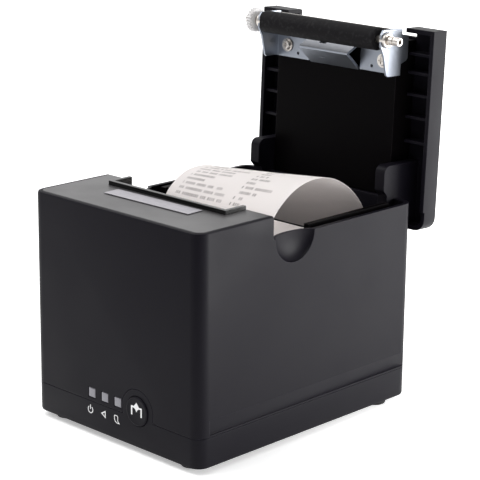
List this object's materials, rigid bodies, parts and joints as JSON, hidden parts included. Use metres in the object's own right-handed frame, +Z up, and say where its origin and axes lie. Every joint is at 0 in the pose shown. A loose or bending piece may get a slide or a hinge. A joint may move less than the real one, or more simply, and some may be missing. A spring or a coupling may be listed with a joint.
{
  "type": "receipt printer",
  "caption": "Compact black thermal receipt printer with its paper lid open, showing a loaded roll, platen roller and cutter, and side finger scoops.",
  "frame": {"origin": "under the middle of the whole object with its lid open, on the plane that the feet stand on", "axes": "+Z up, +Y from the front face to the rear, +X to the right seen from the front"},
  "size_m": [0.13, 0.1941, 0.2145],
  "materials": {
    "black_case": "fine matt moulded texture, near black",
    "black_inner": "satin black moulding, inside faces",
    "panel_black": "fine-grained matt black top plate",
    "window_grey": "smoky grey light window",
    "sticker": "silver film label, blank",
    "steel": "bright zinc-plated pressed sheet",
    "nickel": "nickel-plated turned metal",
    "aluminium": "mill-finish aluminium",
    "spring_steel": "spring wire",
    "roller_rubber": "ground matt rubber",
    "white_plastic": "natural white acetal",
    "ceramic": "glazed thermal head",
    "board_green": "green circuit board lacquer",
    "port_black": "plain black connector plastic",
    "paper": "smooth white thermal paper",
    "card": "brown card tube",
    "foot_rubber": "soft black rubber foot"
  },
  "bodies": {
    "root": {"base_shell": "black_case", "upper_case": "black_case", "exit_bezel": "black_inner", "paper_bin": "black_inner", "cutter_cover": "black_inner", "top_panel": "panel_black", "status_window_power": "window_grey", "status_window_error": "window_grey", "status_window_paper": "window_grey", "top_label": "sticker", "mech_frame": "steel", "cutter_base": "steel", "port_panel": "steel", "head_pivot_rod": "nickel", "cutter_motor": "nickel", "feed_motor": "nickel", "idler_axle": "nickel", "network_socket": "nickel", "usb_socket": "nickel", "hinge_pin_left": "nickel", "hinge_pin_right": "nickel", "head_spring_left": "spring_steel", "head_spring_right": "spring_steel", "front_board": "board_green", "main_board": "board_green", "feed_switch": "port_black", "paper_end_sensor": "port_black", "lid_switch": "port_black", "buzzer": "port_black", "power_socket": "port_black", "drawer_socket": "port_black", "serial_socket": "port_black", "switch_frame": "port_black", "receipt_strip": "paper", "foot_front_left": "foot_rubber", "foot_front_right": "foot_rubber", "foot_rear_left": "foot_rubber", "foot_rear_right": "foot_rubber"},
    "lid": {"lid_shell": "black_case", "lid_inner_panel": "black_inner", "platen_bracket": "steel", "bracket_screw_left": "nickel", "bracket_screw_right": "nickel", "platen_bush_left": "nickel", "platen_bush_right": "nickel", "fixed_blade": "nickel"},
    "platen": {"platen_shaft": "nickel", "platen_roller": "roller_rubber", "platen_gear": "white_plastic"},
    "roll": {"paper_roll": "paper", "roll_core": "card"},
    "button": {"feed_button": "black_case"},
    "rocker": {"power_rocker": "black_inner"},
    "head": {"heat_sink": "aluminium", "print_head": "ceramic"},
    "blade": {"moving_blade": "nickel"},
    "cutter_wheel": {"cutter_pinion": "white_plastic"},
    "idler": {"idler_gear": "white_plastic"},
    "motor_wheel": {"motor_pinion": "nickel"}
  },
  "joints": [
    {"name": "lid_hinge", "type": "hinge", "parent": "root", "child": "lid", "pos_m": [0, 0.06682, 0.1034], "axis": [1, 0, 0], "range_deg": [0, 92.2], "deforming": ["receipt_strip"]},
    {"name": "platen_spin", "type": "hinge", "parent": "lid", "child": "platen", "pos_m": [0, 0.06381, 0.20749], "axis": [1, 0, 0], "continuous": true},
    {"name": "roll_spin", "type": "hinge", "parent": "root", "child": "roll", "pos_m": [0, 0.00272, 0.0692], "axis": [1, 0, 0], "continuous": true},
    {"name": "button_press", "type": "slide", "parent": "root", "child": "button", "axis": [0, 1, 0], "range_m": [0, 0.0008], "stiffness_N_per_m": 300},
    {"name": "rocker_tilt", "type": "hinge", "parent": "root", "child": "rocker", "pos_m": [0.044, 0.06972, 0.043], "axis": [1, 0, 0], "range_deg": [0, 16]},
    {"name": "head_tilt", "type": "hinge", "parent": "root", "child": "head", "pos_m": [0, -0.05078, 0.081], "axis": [1, 0, 0], "range_deg": [0, 2], "stiffness_Nm_per_rad": 1, "springref_deg": -2.01},
    {"name": "blade_slide", "type": "slide", "parent": "root", "child": "blade", "axis": [0, 1, 0], "range_m": [0, 0.0055]},
    {"name": "cutter_wheel_turn", "type": "hinge", "parent": "root", "child": "cutter_wheel", "pos_m": [0.012, -0.07228, 0.1064], "axis": [0, 0, 1], "range_deg": [0, 72.5]},
    {"name": "idler_spin", "type": "hinge", "parent": "root", "child": "idler", "pos_m": [-0.0517, -0.05838, 0.0884], "axis": [1, 0, 0], "continuous": true},
    {"name": "motor_wheel_spin", "type": "hinge", "parent": "root", "child": "motor_wheel", "pos_m": [-0.0517, -0.07728, 0.089], "axis": [1, 0, 0], "continuous": true}
  ],
  "couplings": [
    {"joint": "cutter_wheel_turn", "follows": "blade_slide", "rad_per_m": 227.65},
    {"joint": "motor_wheel_spin", "follows": "idler_spin", "ratio": -4.8}
  ]
}
